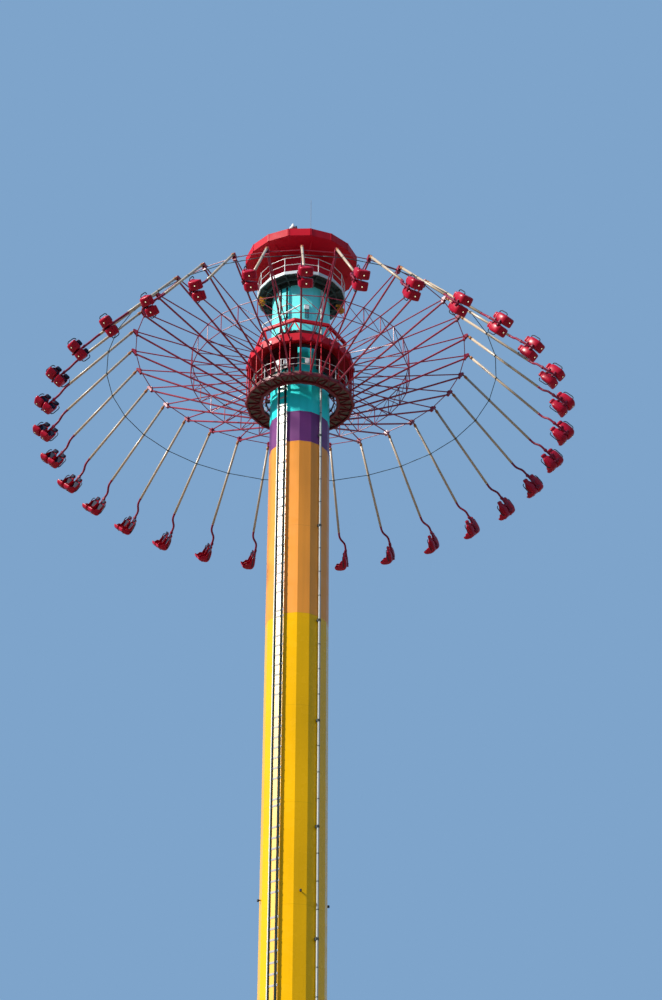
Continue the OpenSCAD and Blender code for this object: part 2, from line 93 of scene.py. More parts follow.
# %% Camera
camera_distance, camera_height = 11.3166, 0.15
look_up, look_right, roll = math.radians(32.431), math.radians(1.012), math.radians(0.201)
focal_pixels, long_side_pixels = 2173.57, 1000
camera_data = bpy.data.cameras.new("camera")
camera_data.sensor_width = 36
camera_data.lens = focal_pixels / long_side_pixels * camera_data.sensor_width
camera_data.clip_start, camera_data.clip_end = 0.1, 400
camera = bpy.data.objects.new("camera", camera_data)
turn = Matrix.Rotation(-look_right, 4, "Z") @ Matrix.Rotation(math.pi / 2 + look_up, 4, "X")
camera.matrix_world = (Matrix.Translation((0, -camera_distance, camera_height)) @ turn
                       @ Matrix.Rotation(roll, 4, "Z"))
bpy.context.scene.collection.objects.link(camera)
bpy.context.scene.camera = camera
bpy.context.scene.view_settings.view_transform = "Standard"

# %% [markdown]
# The light is a soft studio set-up that keeps the photograph's direction: a
# key from the left at half height, so that each facet of the mast has its own
# tone, and an even surround, pale blue above and pale warm below, that fills
# the shaded side. The key stands where a gloss face between the mast's front
# and its left corner mirrors it to the camera, as the sun did.

# %% Light and floor
key_turn, key_height = math.radians(-65.5), math.radians(35.5)
key_data = bpy.data.lights.new("key", "SUN")
key_data.energy = 6.0
key_data.angle = math.radians(4)
key_data.color = (1.0, 0.965, 0.90)
key = bpy.data.objects.new("key", key_data)
key_from = at(1, key_turn, math.tan(key_height))
key.rotation_mode = "QUATERNION"
key.rotation_quaternion = key_from.to_track_quat("Z", "Y")
bpy.context.scene.collection.objects.link(key)


def surround():
    """An even surround, pale blue above the horizon and warmer below it."""
    world = bpy.data.worlds.new("surround")
    world.use_nodes = True
    tree = world.node_tree
    direction = tree.nodes.new("ShaderNodeTexCoord").outputs["Generated"]
    split = tree.nodes.new("ShaderNodeSeparateXYZ")
    tree.links.new(direction, split.inputs["Vector"])
    height = tree.nodes.new("ShaderNodeMapRange")
    height.inputs["From Min"].default_value = -0.08
    height.inputs["From Max"].default_value = 0.12
    tree.links.new(split.outputs["Z"], height.inputs["Value"])
    mix = tree.nodes.new("ShaderNodeMix")
    mix.data_type = "RGBA"
    mix.inputs["A"].default_value = (0.225, 0.210, 0.182, 1)
    mix.inputs["B"].default_value = (0.209, 0.371, 0.597, 1)
    tree.links.new(height.outputs["Result"], mix.inputs["Factor"])
    tree.links.new(mix.outputs["Result"], tree.nodes["Background"].inputs["Color"])
    bpy.context.scene.world = world


def plain_floor(radius=4.0):
    """A pale round floor, level with the underside of the base flange."""
    bm = bmesh.new()
    bmesh.ops.create_circle(bm, cap_ends=True, segments=96, radius=radius)
    mesh = bpy.data.meshes.new("floor")
    bm.to_mesh(mesh)
    bm.free()
    floor = bpy.data.objects.new("floor", mesh)
    bpy.context.scene.collection.objects.link(floor)
    material = bpy.data.materials.new("floor_matt")
    material.use_nodes = True
    shader = material.node_tree.nodes["Principled BSDF"]
    shader.inputs["Base Color"].default_value = (0.46, 0.45, 0.43, 1)
    shader.inputs["Roughness"].default_value = 0.9
    mesh.materials.append(material)


surround()
plain_floor()

# %% [markdown]
# Painted steel is never one flat colour. One helper makes every paint here:
# a slow drift of tone, rain streaks that run down, a little dust that takes
# the shine off, and the fine ripple of a sprayed coat as bump.

# %% Paint
def add(tree, kind, **inputs):
    """A node of one kind with some of its unlinked inputs set."""
    node = tree.nodes.new(kind)
    for name, value in inputs.items():
        node.inputs[name.replace("_", " ")].default_value = value
    return node


def ramp_between(tree, source, low, high, dark, light):
    """Maps a factor from one range to another."""
    node = add(tree, "ShaderNodeMapRange", From_Min=low, From_Max=high, To_Min=dark, To_Max=light)
    tree.links.new(source, node.inputs["Value"])
    return node.outputs["Result"]


def maths(tree, operation, a, b=None):
    """A sum, product or other operation on two factors, either of which may be a number."""
    node = tree.nodes.new("ShaderNodeMath")
    node.operation = operation
    for socket, value in zip(node.inputs, (a, b)):
        if isinstance(value, bpy.types.NodeSocket):
            tree.links.new(value, socket)
        elif value is not None:
            socket.default_value = value
    return node.outputs[0]


def tone(tree, colour, factor):
    """A plain colour made darker or lighter by a factor that varies over the surface."""
    node = tree.nodes.new("ShaderNodeVectorMath")
    node.operation = "SCALE"
    node.inputs[0].default_value = colour
    tree.links.new(factor, node.inputs["Scale"])
    return node.outputs["Vector"]


def noise(tree, place, scale, stretch=(1, 1, 1), detail=3):
    """Noise in object space, stretched along an axis if need be."""
    mapping = add(tree, "ShaderNodeMapping", Scale=stretch)
    tree.links.new(place, mapping.inputs["Vector"])
    node = add(tree, "ShaderNodeTexNoise", Scale=scale, Detail=detail)
    tree.links.new(mapping.outputs["Vector"], node.inputs["Vector"])
    return node.outputs["Fac"]


def start_material(name):
    """A new material, its node tree, its shader and the object's own coordinates."""
    material = bpy.data.materials.new(name)
    material.use_nodes = True
    tree = material.node_tree
    place = tree.nodes.new("ShaderNodeTexCoord").outputs["Object"]
    return material, tree, tree.nodes["Principled BSDF"], place


def bump(tree, shader, height, strength, distance):
    """Feeds a height to the shader as bump."""
    node = add(tree, "ShaderNodeBump", Strength=strength, Distance=distance)
    tree.links.new(height, node.inputs["Height"])
    tree.links.new(node.outputs["Normal"], shader.inputs["Normal"])


def paint(name, colour, roughness=0.38, streaks=0.10, coat=0.08, metal=0.0, shine=0.28):
    """Sprayed paint on steel, with drift, streaks, dust and ripple."""
    material, tree, shader, place = start_material(name)
    drift = ramp_between(tree, noise(tree, place, 2.3), 0.3, 0.7, 0.93, 1.05)
    rain = ramp_between(tree, noise(tree, place, 34, (1, 1, 0.04)), 0.35, 0.75, 1.0, 1.0 - streaks)
    tree.links.new(tone(tree, colour, maths(tree, "MULTIPLY", drift, rain)), shader.inputs["Base Color"])
    dust = ramp_between(tree, noise(tree, place, 16), 0.3, 0.8, roughness - 0.06, roughness + 0.14)
    tree.links.new(dust, shader.inputs["Roughness"])
    shader.inputs["Coat Weight"].default_value = coat
    shader.inputs["Coat Roughness"].default_value = 0.25
    shader.inputs["Specular IOR Level"].default_value = shine
    shader.inputs["Metallic"].default_value = metal
    bump(tree, shader, noise(tree, place, 380, detail=2), 0.12, 0.0006)
    return material


def finish(node_name, material):
    """Gives a CAD node its finish."""
    slots = nodes[node_name].data.materials
    slots.clear()
    slots.append(material)


red = (0.56, 0.007, 0.022)
red_paint = paint("red_gloss_paint", red, 0.50, 0.08, coat=0.0, shine=0.14)
# Near-black red: the beacon's own dark housing, and painted shade on the carriage frame inside the cage.
dark_red_and_shade_paint = paint("dark_red_and_shade_paint", (0.08, 0.003, 0.007), 0.6, 0.12)
soffit_paint = paint("soffit_red_paint", (0.68, 0.003, 0.026), 0.6, 0.10)
white_paint = paint("white_paint", (0.80, 0.80, 0.78), 0.45, 0.12)
base_paint = paint("base_grey_paint", (0.24, 0.25, 0.26), 0.5, 0.16)
dark_paint = paint("dark_green_grey_paint", (0.050, 0.085, 0.085), 0.6, 0.12)
orange_paint = paint("sheave_orange_paint", (0.78, 0.30, 0.02), 0.5, 0.25)
arm_paint = paint("arm_crimson_paint", (0.31, 0.006, 0.034), 0.44, 0.08, coat=0.05, shine=0.55)
tube_paint = paint("tube_crimson_paint", (0.24, 0.005, 0.034), 0.5, 0.08, coat=0.0, shine=0.3)
plate_paint = paint("bracket_plate_paint", (0.49, 0.46, 0.42), 0.6, 0.15, coat=0.0, shine=0.2)
cream_paint = paint("cream_rod_paint", (0.53, 0.40, 0.27), 0.36, 0.0, coat=0.10, shine=0.6)
amber_paint = paint("amber_fitting_paint", (0.42, 0.17, 0.06), 0.5, 0.05)
dark_trim = paint("dark_trim_steel", (0.020, 0.022, 0.034), 0.5, 0.06, coat=0.0, metal=0.2)
cable_steel = paint("cable_steel", (0.055, 0.075, 0.085), 0.5, 0.15, coat=0.0, metal=0.2)
rubber = paint("roller_rubber", (0.02, 0.02, 0.02), 0.7, 0.05, coat=0.0)

# %% [markdown]
# The mast is built from bolted sections of plate. Their joints show as thin
# dark lines round it at even heights, and grease from the track has run into
# the paint near them. The line is cut into the mast's paint by the height of
# the surface, so it stays on the steel from every side. The lower colours are
# glossier than the upper ones. Above the carriage's upper stop, where no
# gondola shades it, the teal is painted paler: a painted sunlit haze.

# %% Mast paint
section_h, seam_h = 0.605, 0.0022
yellow, orange = (0.95, 0.48, 0.0002), (0.95, 0.33, 0.024)
purple, teal = (0.150, 0.016, 0.150), (0.006, 0.84, 0.83)
# Above this height the teal is painted paler, a painted sunlit haze.
painted_sunlit_teal, sunlit_teal_from = (0.15, 0.86, 0.82), 8.36


def place_of(tree):
    """The object coordinates that a paint already uses."""
    return next(node for node in tree.nodes if node.bl_idname == "ShaderNodeTexCoord").outputs["Object"]


def scaled_colour(tree, shader, factor):
    """Darkens or lightens what already feeds the base colour."""
    before = shader.inputs["Base Color"].links[0].from_socket
    scaled = tree.nodes.new("ShaderNodeVectorMath")
    scaled.operation = "SCALE"
    tree.links.new(before, scaled.inputs[0])
    tree.links.new(factor, scaled.inputs["Scale"])
    tree.links.new(scaled.outputs["Vector"], shader.inputs["Base Color"])


def parts_of(tree, place):
    """The three coordinates of the surface."""
    split = tree.nodes.new("ShaderNodeSeparateXYZ")
    tree.links.new(place, split.inputs["Vector"])
    return split.outputs["X"], split.outputs["Y"], split.outputs["Z"]


def blended(tree, factor, first, second):
    """The first colour where the factor is 0, the second where it is 1; either may be a plain colour."""
    mix = tree.nodes.new("ShaderNodeMix")
    mix.data_type = "RGBA"
    tree.links.new(factor, mix.inputs["Factor"])
    for name, value in (("A", first), ("B", second)):
        if isinstance(value, bpy.types.NodeSocket):
            tree.links.new(value, mix.inputs[name])
        else:
            mix.inputs[name].default_value = (*value, 1)
    return mix.outputs["Result"]


def painted_over(material, factor, colour):
    """Lays another colour over a paint where the factor is 1."""
    tree = material.node_tree
    shader = tree.nodes["Principled BSDF"]
    before = shader.inputs["Base Color"].links[0].from_socket
    tree.links.new(blended(tree, factor, before, colour), shader.inputs["Base Color"])


def mast_paint(name, colour, gloss, shine, tint, streaks=0.10):
    """Paint with the joints between the mast's sections."""
    material = paint(name, colour, gloss, streaks, coat=0.0, shine=shine)
    tree = material.node_tree
    shader = tree.nodes["Principled BSDF"]
    shader.inputs["Specular Tint"].default_value = (*tint, 1)
    _, _, z = parts_of(tree, place_of(tree))
    over_joint = maths(tree, "PINGPONG", maths(tree, "SUBTRACT", z, yellow_top), section_h / 2)
    scaled_colour(tree, shader, ramp_between(tree, over_joint, seam_h * 0.4, seam_h * 0.8, 0.84, 1.0))
    return material


def teal_paint():
    """Teal, painted paler above the carriage's upper stop as a painted sunlit haze."""
    material = mast_paint("mast_teal_paint", teal, 0.42, 0.6, (1.0, 0.97, 0.9))
    tree = material.node_tree
    _, _, z = parts_of(tree, place_of(tree))
    # The paler teal on top is a painted sunlit haze.
    painted_over(material, ramp_between(tree, z, sunlit_teal_from, sunlit_teal_from + 0.10, 0.0, 1.0), painted_sunlit_teal)
    return material


finish("mast_yellow", mast_paint("mast_yellow_paint", yellow, 0.235, 0.5, (1.0, 0.93, 0.25), 0.06))
finish("mast_orange", mast_paint("mast_orange_paint", orange, 0.42, 0.55, (1.0, 0.95, 0.85)))
finish("mast_purple", mast_paint("mast_purple_paint", purple, 0.46, 0.8, (1.0, 0.72, 0.9)))
finish("mast_teal", teal_paint())
for name in ("head_core", "roof_soffit"):
    finish(name, soffit_paint)
finish("rotor_cage", red_paint)
for name in ("arms_front", "arms_right", "arms_back", "arms_left"):
    finish(name, arm_paint)
for name in ("platform_railing", "rotor_railing"):
    finish(name, white_paint)
finish("base_flange", base_paint)
# The carriage frame is near black: its own dark red with painted shade for the cage's shaded inside.
finish("carriage_frame", dark_red_and_shade_paint)
finish("mast_lamps", dark_trim)
finish("platform_beams", dark_paint)
finish("hoist_sheaves", orange_paint)
finish("guide_rollers", rubber)
finish("link_cable", cable_steel)

# %% [markdown]
# Some CAD pieces carry two colours. The rails are greased on their running
# edges, with a pale painted sunlit highlight along the outer edge of one rail,
# and the service pipe has dark clamps. The strip behind the rails was painted
# with the mast, so it changes colour with it.
# The platform's deck is pale only round its edge, and the rail on the top
# frame is white. Each part is told apart by where it lies: its height, its
# distance from the mast's axis, or its place across the track.

# %% Pieces in two colours
track_turn = math.radians(-33.75)
track_out = at(1, track_turn, 0)
track_along = Vector((-track_out.y, track_out.x, 0))
painted_highlight_edge = 0.0268
clamp_first, clamp_pitch = 0.503, 0.656
pipe_turn = math.radians(41)
strip_depth = 0.0045
deck_edge = -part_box("platform_deck")[0].y - 0.011
roof_turn = math.radians(-2.5)


def distance_along(tree, place, direction):
    """How far the surface lies along a direction."""
    node = tree.nodes.new("ShaderNodeVectorMath")
    node.operation = "DOT_PRODUCT"
    tree.links.new(place, node.inputs[0])
    node.inputs[1].default_value = direction
    return node.outputs["Value"]


def rail_paint():
    """Greased steel, with a pale painted sunlit highlight on the outer edge of one rail."""
    material = paint("rail_steel", (0.022, 0.032, 0.030), 0.85, 0.15, coat=0.0, shine=0.1)
    tree = material.node_tree
    across = distance_along(tree, place_of(tree), track_along)
    # The pale strip on the left rail's outer edge is a painted sunlit highlight.
    painted_over(material, maths(tree, "LESS_THAN", across, -painted_highlight_edge), (0.80, 0.80, 0.78))
    return material


def mast_colour(tree, place):
    """The mast's own colour at the height of the surface."""
    _, _, z = parts_of(tree, place)
    colour = yellow
    for height, above in ((yellow_top, orange), (orange_top, purple), (purple_top, teal)):
        colour = blended(tree, maths(tree, "GREATER_THAN", z, height), colour, above)
    return colour


def pipe_paint():
    """Pale grey pipe with dark clamps."""
    material = paint("service_pipe_paint", (0.46, 0.48, 0.46), 0.55, 0.10)
    tree = material.node_tree
    _, _, z = parts_of(tree, place_of(tree))
    off_clamp = maths(tree, "PINGPONG", maths(tree, "SUBTRACT", z, clamp_first), clamp_pitch / 2)
    painted_over(material, maths(tree, "LESS_THAN", off_clamp, 0.0085), (0.040, 0.050, 0.050))
    return material


def bracket_paint():
    """White brackets on a strip that is painted with the mast."""
    material = paint("track_bracket_paint", (0.74, 0.74, 0.72), 0.235, 0.10)
    tree = material.node_tree
    depth = distance_along(tree, place_of(tree), track_out)
    on_strip = maths(tree, "LESS_THAN", depth, mast_flat + strip_depth)
    painted_over(material, on_strip, mast_colour(tree, place_of(tree)))
    return material


def bed_paint():
    """The mast's colours, glossier, for the plates between and beside the rails."""
    material = paint("track_bed_paint", yellow, 0.235, 0.10, coat=0.0, shine=0.7)
    tree = material.node_tree
    shader = tree.nodes["Principled BSDF"]
    shader.inputs["Specular Tint"].default_value = (1.0, 0.97, 0.88, 1)
    place = place_of(tree)
    tree.links.new(mast_colour(tree, place), shader.inputs["Base Color"])
    scaled_colour(tree, shader, ramp_between(tree, noise(tree, place, 2.3), 0.3, 0.7, 0.93, 1.05))
    wear = ramp_between(tree, noise(tree, place, 3), 0.3, 0.7, 0.27, 0.285)
    _, _, z = parts_of(tree, place)
    # The plates are rougher above the same height.
    rougher_sunlit = ramp_between(tree, z, sunlit_teal_from, sunlit_teal_from + 0.10, 0.0, 0.35)
    tree.links.new(maths(tree, "ADD", wear, rougher_sunlit), shader.inputs["Roughness"])
    return material


def radial(tree, place):
    """The distance of the surface from the mast's axis."""
    x, y, _ = parts_of(tree, place)
    squares = [maths(tree, "MULTIPLY", part, part) for part in (x, y)]
    return maths(tree, "SQRT", maths(tree, "ADD", *squares))


def deck_edge_paint():
    """Dark plates with a pale band round the edge."""
    material = paint("platform_deck_paint", (0.060, 0.110, 0.115), 0.6, 0.2)
    tree = material.node_tree
    band = maths(tree, "GREATER_THAN", radial(tree, place_of(tree)), deck_edge)
    painted_over(material, band, (0.55, 0.60, 0.62))
    return material


def top_frame_paint():
    """Red frame with a white rail above it."""
    material = paint("top_frame_paint", red, 0.50, 0.08, coat=0.0, shine=0.2)
    tree = material.node_tree
    _, _, z = parts_of(tree, place_of(tree))
    painted_over(material, maths(tree, "GREATER_THAN", z, tip_z + 0.058), (0.80, 0.80, 0.78))
    return material


def roof_paint():
    """Red fascia plates with a thin dark gap at each corner."""
    material = paint("roof_red_paint", red, 0.50, 0.12, coat=0.0, shine=0.14)
    tree = material.node_tree
    shader = tree.nodes["Principled BSDF"]
    x, y, _ = parts_of(tree, place_of(tree))
    turned = maths(tree, "ADD", maths(tree, "ARCTAN2", y, x), -roof_turn)
    off_corner = maths(tree, "PINGPONG", maths(tree, "ADD", turned, facet / 2), facet / 2)
    scaled_colour(tree, shader, ramp_between(tree, off_corner, 0.0035, 0.0060, 0.45, 1.0))
    return material


def fittings_paint():
    """A white beacon and a grey lightning rod."""
    material = paint("roof_fittings_paint", (0.82, 0.82, 0.80), 0.40, 0.10)
    tree = material.node_tree
    _, y, _ = parts_of(tree, place_of(tree))
    painted_over(material, maths(tree, "GREATER_THAN", y, -0.26), (0.20, 0.23, 0.28))
    return material


finish("guide_rails", rail_paint())
finish("service_pipe", pipe_paint())
finish("rail_brackets", bracket_paint())
finish("platform_deck", deck_edge_paint())
finish("top_ring", top_frame_paint())
finish("roof_cap", roof_paint())
finish("roof_fittings", fittings_paint())

# %% [markdown]
# The gondola's floor is open grating on radial joists. From below, daylight
# comes through it, so it reads as a lighter brown between the dark joists.
# The joists and the floor are one CAD piece, so the material tells them apart
# by height: the grating is what lies at the floor's own level.

# %% Grating
floor_under = deck_high.z - 0.008


def grating_paint():
    """Dark red joists, with a fine brown mesh at the floor's level."""
    material, tree, shader, place = start_material("deck_grating")
    _, _, z = parts_of(tree, place)
    is_floor = ramp_between(tree, z, floor_under - 0.0006, floor_under - 0.0002, 0.0, 1.0)
    bars = add(tree, "ShaderNodeTexBrick", Scale=1.0, Mortar_Size=0.0012, Brick_Width=0.006,
               Row_Height=0.006, Color1=(0.23, 0.16, 0.11, 1), Color2=(0.27, 0.19, 0.13, 1),
               Mortar=(0.09, 0.05, 0.04, 1))
    bars.offset = 0.0
    tree.links.new(place, bars.inputs["Vector"])
    colour = blended(tree, is_floor, (0.20, 0.010, 0.018), bars.outputs["Color"])
    tree.links.new(colour, shader.inputs["Base Color"])
    dust = ramp_between(tree, noise(tree, place, 22), 0.3, 0.8, 0.45, 0.65)
    tree.links.new(dust, shader.inputs["Roughness"])
    return material


finish("rotor_deck", grating_paint())

# %% [markdown]
# New pieces are made with bmesh operators. A few helpers cover most of them:
# one turns a finished bmesh into a piece that rides on a body, one sets a
# straight bar between two points, and one sweeps a round tube along a bent
# line by extruding its end ring from bend to bend.

# %% Making pieces
def piece(name, bm, materials, body, smooth=True):
    """Turns a bmesh into an object at the origin that rides on a CAD body."""
    mesh = bpy.data.meshes.new(name)
    bm.to_mesh(mesh)
    bm.free()
    for material in materials:
        mesh.materials.append(material)
    mesh.polygons.foreach_set("use_smooth", [smooth] * len(mesh.polygons))
    made = bpy.data.objects.new(name, mesh)
    bpy.context.scene.collection.objects.link(made)
    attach(made, body)
    return made


def tint(faces, index):
    """Gives faces their place in the piece's list of materials."""
    for face in faces:
        face.material_index = index


def frame_along(direction):
    """A turn that points +Z along a direction."""
    return direction.to_track_quat("Z", "Y").to_matrix().to_4x4()


def bar(bm, a, b, radius, sides=8, index=0, far_radius=None):
    """A straight round bar from a to b."""
    place = Matrix.Translation((a + b) / 2) @ frame_along(b - a)
    made = bmesh.ops.create_cone(bm, cap_ends=True, segments=sides, radius1=radius,
                                 radius2=radius if far_radius is None else far_radius,
                                 depth=(b - a).length, matrix=place)
    tint({face for vert in made["verts"] for face in vert.link_faces}, index)


def box(bm, low, high, index=0, bevel=0.0, place=Matrix.Identity(4), segments=2):
    """A box between two corners, with its edges eased."""
    low, high = Vector(low), Vector(high)
    middle = Matrix.Translation((low + high) / 2) @ Matrix.Diagonal((*(high - low), 1))
    made = bmesh.ops.create_cube(bm, size=1, matrix=place @ middle)
    faces = {face for vert in made["verts"] for face in vert.link_faces}
    tint(faces, index)
    if bevel:
        edges = {edge for vert in made["verts"] for edge in vert.link_edges}
        eased = bmesh.ops.bevel(bm, geom=list(edges), offset=bevel, offset_type="OFFSET", segments=segments,
                                profile=0.5, affect="EDGES", material=-1)
        tint(eased["faces"], index)


def sweep(bm, points, radius, sides=10, index=0, closed_ends=True):
    """A round tube along a bent line, made by extruding its end ring."""
    directions = [(b - a).normalized() for a, b in zip(points, points[1:])]
    tangents = ([directions[0]] + [(a + b).normalized() for a, b in zip(directions, directions[1:])]
                + [directions[-1]])
    placed = Matrix.Translation(points[0]) @ frame_along(tangents[0])
    ring = bmesh.ops.create_circle(bm, segments=sides, radius=radius, matrix=placed)["verts"]
    first = list(ring)
    edges = list({edge for vert in ring for edge in vert.link_edges})
    for point, before, after in zip(points[1:], tangents, tangents[1:]):
        grown = bmesh.ops.extrude_edge_only(bm, edges=edges)["geom"]
        ring = [item for item in grown if isinstance(item, bmesh.types.BMVert)]
        tint((item for item in grown if isinstance(item, bmesh.types.BMFace)), index)
        swing_round = before.rotation_difference(after).to_matrix().to_4x4()
        turned = Matrix.Translation(point) @ swing_round @ placed.to_3x3().to_4x4()
        bmesh.ops.transform(bm, matrix=turned @ placed.inverted(), verts=ring)
        placed = turned
        edges = [edge for edge in {e for vert in ring for e in vert.link_edges}
                 if edge.verts[0] in ring and edge.verts[1] in ring]
    if closed_ends:
        for end in (first, ring):
            cap = bmesh.ops.contextual_create(bm, geom=end)["faces"]
            tint(cap, index)
    bmesh.ops.recalc_face_normals(bm, faces=bm.faces)


# %% [markdown]
# Each swing is drawn once, hanging from the origin with +X outwards and +Y
# forwards, as on a drawing of the part. A matrix then swings it out to its
# rest angle, sets it on its pivot and turns it round to its arm. The same
# drawing is copied for all of them, so they can't differ.

# %% Swing sizes
lean = math.radians(1.3)
rod_end, rod_d, socket_r = 0.620, 0.016, 0.0095
cable_at, cable_d, clamp_d = 0.250, 0.005, 0.0185
tube_d, bend_l = 0.0140, 0.01149
bends = [math.radians(angle) for angle in (-1.3, 0, 8, 17, 29, 36, 36, 27, 13, 2)]
seat_drop, seat_w, seat_gap = 0.155, 0.056, 0.010
seat_x = (seat_w + seat_gap) / 2

rod_line = Vector((0, math.sin(lean), -math.cos(lean)))
bend_points = [rod_line * rod_end]
for angle in bends:
    bend_points.append(bend_points[-1] + Vector((0, -math.sin(angle), -math.cos(angle))) * bend_l)
tube_end = bend_points[-1]
seat_foot = tube_end + Vector((0, 0.002, -seat_drop))


def swing_matrix(k):
    """From a swing's own drawing to its place on arm k, at rest."""
    return (Matrix.Rotation(k * step - math.pi / 2, 4, "Z") @ Matrix.Translation((tip_r, 0, tip_z))
            @ Matrix.Rotation(-flares[k % swing_count], 4, "Y"))


print("seat foot below the pivot", [round(v, 4) for v in seat_foot])

# %% [markdown]
# The rod is a long painted tube in a warm cream. At its top a forged eye
# turns on the pivot pin, and the fitting between eye and rod is a darker
# amber. A clamp a third of the way down holds the cable that keeps the swings
# apart. Straight round parts are bars, and the eye is a ring spun from a
# small rectangle, so that the pin still passes through it.

# %% Rod, eye and clamp
eye_d, eye_w, pin_d = 0.016, 0.012, 0.004


def spun_ring(bm, inner, outer, width, place, steps=24, index=0):
    """A flat ring with a hole, spun round its own Z axis."""
    others = set(bm.verts)
    half = width / 2
    corners = [bm.verts.new((x, 0, z))
               for x, z in ((inner, -half), (outer, -half), (outer, half), (inner, half))]
    profile = bm.faces.new(corners)
    edges = list(profile.edges)
    bmesh.ops.delete(bm, geom=[profile], context="FACES_ONLY")
    bmesh.ops.spin(bm, geom=corners + edges, cent=(0, 0, 0), axis=(0, 0, 1), angle=2 * math.pi,
                   steps=steps, use_merge=True)
    ring = [vert for vert in bm.verts if vert not in others]
    faces = {face for vert in ring for face in vert.link_faces}
    tint(faces, index)
    bmesh.ops.transform(bm, matrix=place, verts=ring)
    bmesh.ops.recalc_face_normals(bm, faces=list(faces))


def rod_bmesh():
    """Eye, amber fitting, cream rod and the cable clamp."""
    bm = bmesh.new()
    spun_ring(bm, pin_d / 2 + 0.00005, eye_d / 2, eye_w, Matrix.Rotation(math.pi / 2, 4, "X"), index=1)
    bar(bm, rod_line * 0.0065, rod_line * 0.026, 0.0055, 16, 1)
    bar(bm, rod_line * 0.022, rod_line * 0.038, socket_r, 20, 1)
    bar(bm, rod_line * 0.037, rod_line * 0.043, socket_r, 20, 1, rod_d / 2)
    bar(bm, rod_line * 0.036, rod_line * rod_end, rod_d / 2, 20, 0)
    bar(bm, rod_line * (cable_at - 0.0035), rod_line * (cable_at + 0.0035), clamp_d / 2, 16, 2)
    bar(bm, rod_line * rod_end, rod_line * (rod_end + 0.012), rod_d / 2, 20, 3, tube_d / 2)
    return bm


# %% [markdown]
# Below the rod a crimson tube bends back in two steps and comes upright again,
# so that the seats hang level with their weight under the rod. It runs down
# between the two seats, where two bracket plates and a yoke carry them.

# %% Bent tube and brackets
def tube_bmesh():
    """The bent tube with its stem, bracket plates and bolts."""
    bm = bmesh.new()
    line = [rod_line * (rod_end - 0.012)] + bend_points + [tube_end + Vector((0, 0, -0.140))]
    sweep(bm, line, tube_d / 2, 16, 0)
    for height in (0.026, 0.072):
        low = Vector((-0.021, tube_end.y - 0.005, seat_foot.z + height))
        high = Vector((0.021, tube_end.y + 0.0025, seat_foot.z + height + 0.012))
        box(bm, low, high, 0, 0.0012)
        for x in (-0.016, 0.016):
            head = Vector((x, low.y + 0.0005, low.z + 0.006))
            bar(bm, head, head + Vector((0, -0.0022, 0)), 0.0022, 6, 1)
    top = tube_end.z - 0.018
    box(bm, (-0.0080, tube_end.y - 0.0080, top - 0.016), (0.0080, tube_end.y + 0.0080, top), 0, 0.001)
    return bm


# %% [markdown]
# Each seat is one glossy red moulding: a narrow headrest, shoulders, a back
# that bulges like a barrel, and side walls that fall away to a low front. It
# starts as a flat grid, whose rows follow the side view from headrest to
# front lip and whose columns run across. Moving the rows and columns gives
# the bucket, Solidify its wall, and Subdivision Surface its moulded softness.

# %% Seat shell
# side view from headrest to lip: back, up, half width, side wall, bulge
seat_rows = [
    (0.011, 0.1235, 0.0150, 0.002, 0.000),
    (0.006, 0.1200, 0.0180, 0.005, 0.003),
    (0.002, 0.1100, 0.0195, 0.008, 0.005),
    (0.005, 0.1005, 0.0165, 0.008, 0.000),
    (0.003, 0.0940, 0.0215, 0.012, 0.001),
    (0.001, 0.0860, 0.0265, 0.018, 0.004),
    (0.000, 0.0720, 0.0280, 0.025, 0.006),
    (0.000, 0.0480, 0.0280, 0.031, 0.0065),
    (0.002, 0.0250, 0.0280, 0.037, 0.005),
    (0.008, 0.0100, 0.0280, 0.042, 0.003),
    (0.020, 0.0028, 0.0275, 0.044, 0.0015),
    (0.040, 0.0018, 0.0275, 0.044, 0.001),
    (0.060, 0.0030, 0.0275, 0.041, 0.0005),
    (0.075, 0.0085, 0.0270, 0.031, 0.000),
    (0.0825, 0.0190, 0.0258, 0.017, 0.000),
    (0.0840, 0.0300, 0.0240, 0.006, 0.000),
]
# across: share of the half width, share of the side wall, share of the bulge
right_columns = [(0.35, 0.0, 1.0), (0.80, 0.0, 0.5), (0.98, 0.14, 0.0), (1.02, 0.55, 0.0), (1.0, 1.0, 0.0)]
seat_columns = [(-share, up, out) for share, up, out in reversed(right_columns)] + right_columns


def seat_shell_mesh():
    """One seat moulding in its own drawing, before its wall and its softness are added."""
    bm = bmesh.new()
    bmesh.ops.create_grid(bm, x_segments=len(seat_columns) - 1, y_segments=len(seat_rows) - 1, size=1)
    bm.verts.ensure_lookup_table()
    line = [Vector((0, y, z)) for y, z, *_ in seat_rows]
    for vert in bm.verts:
        column = round((vert.co.x + 1) / 2 * (len(seat_columns) - 1))
        row = round((vert.co.y + 1) / 2 * (len(seat_rows) - 1))
        _, _, half, wall, bulge = seat_rows[row]
        share, up, out = seat_columns[column]
        along = (line[min(row + 1, len(line) - 1)] - line[max(row - 1, 0)]).normalized()
        inward = Vector((0, -along.z, along.y))
        vert.co = line[row] + inward * (wall * up - bulge * out + 0.002) + Vector((half * share, 0, 0))
    mesh = bpy.data.meshes.new("seat_shell_drawing")
    bmesh.ops.recalc_face_normals(bm, faces=bm.faces)
    bm.to_mesh(mesh)
    bm.free()
    return mesh


def applied(mesh, *settings):
    """The mesh after some modifiers, each given as its kind and its values."""
    holder = bpy.data.objects.new("workbench", mesh)
    bpy.context.scene.collection.objects.link(holder)
    for kind, values in settings:
        modifier = holder.modifiers.new(kind.lower(), kind)
        for name, value in values.items():
            setattr(modifier, name, value)
    bpy.context.view_layer.update()
    result = bpy.data.meshes.new_from_object(holder.evaluated_get(bpy.context.evaluated_depsgraph_get()))
    bpy.data.objects.remove(holder)
    return result


